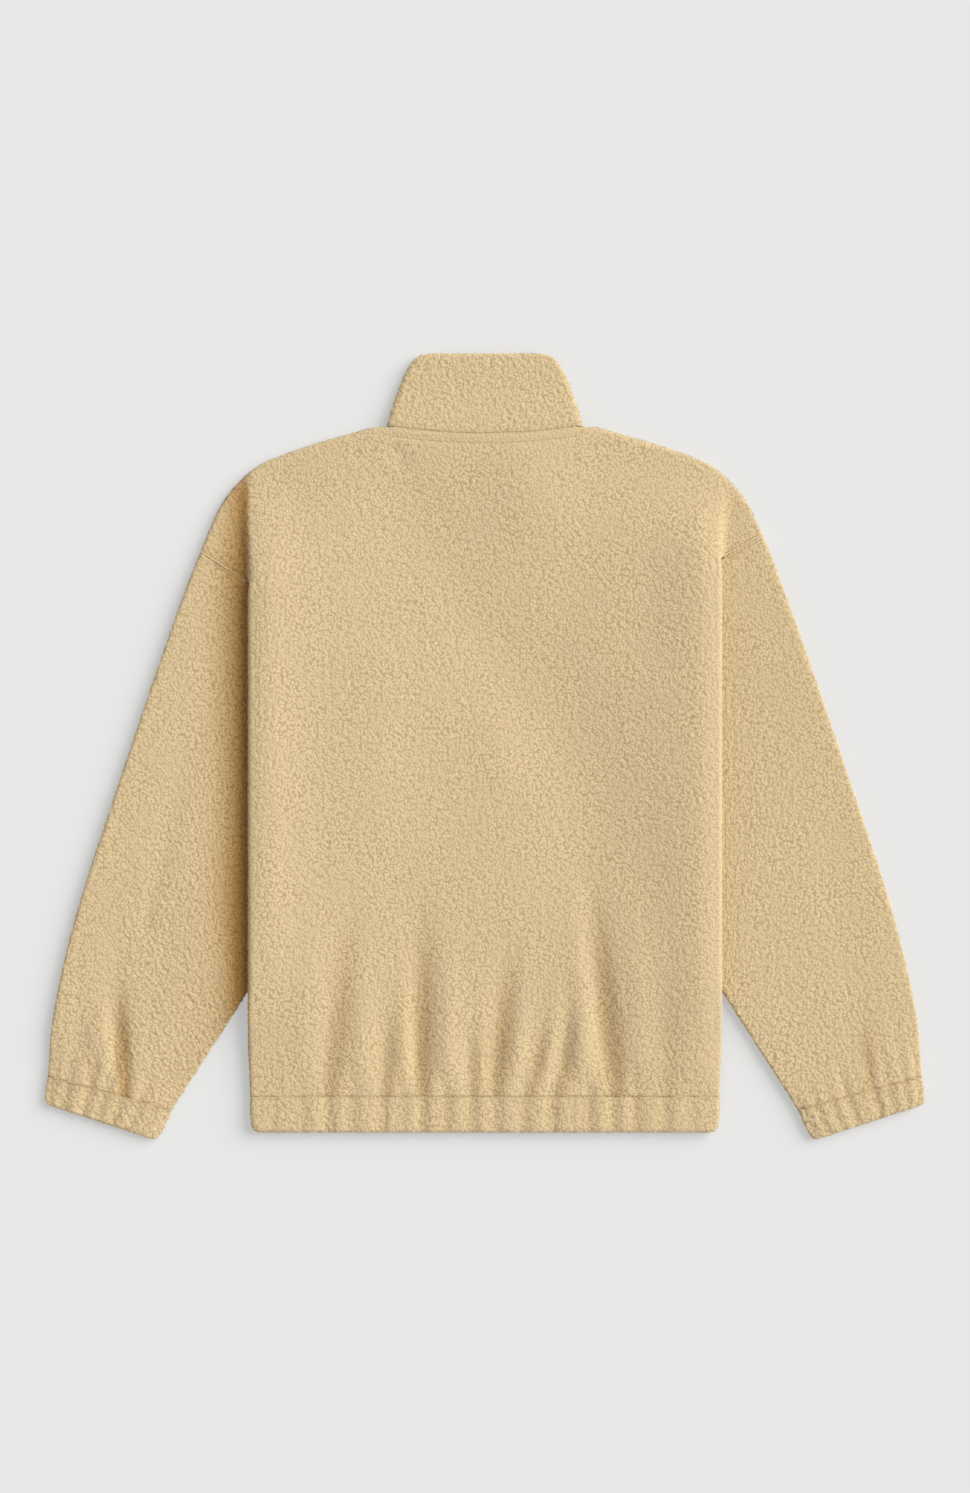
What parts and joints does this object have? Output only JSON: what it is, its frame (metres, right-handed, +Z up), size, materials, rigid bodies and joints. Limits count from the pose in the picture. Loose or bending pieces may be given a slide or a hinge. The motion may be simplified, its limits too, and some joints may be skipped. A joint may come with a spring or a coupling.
{
  "type": "pile fleece jacket with a stand collar, laid flat face down",
  "caption": "Fleece jacket with stand collar, dropped shoulders, long sleeves and gathered hem and cuffs, lying flat with its back up",
  "frame": {"origin": "on the surface, under the middle of the whole outline", "axes": "+X across the garment, towards the wearer's right side; +Y up the back, towards the collar; +Z up from the surface, out of the back"},
  "size_m": [0.8532, 0.7614, 0.0199],
  "materials": {
    "fleece": "soft curly pile, matt, sand coloured"
  },
  "bodies": {
    "root": {"back": "fleece", "front_left": "fleece", "front_right": "fleece", "sleeve_left": "fleece", "sleeve_right": "fleece", "cuff_left": "fleece", "cuff_right": "fleece", "hem_band": "fleece", "collar": "fleece"}
  },
  "joints": []
}
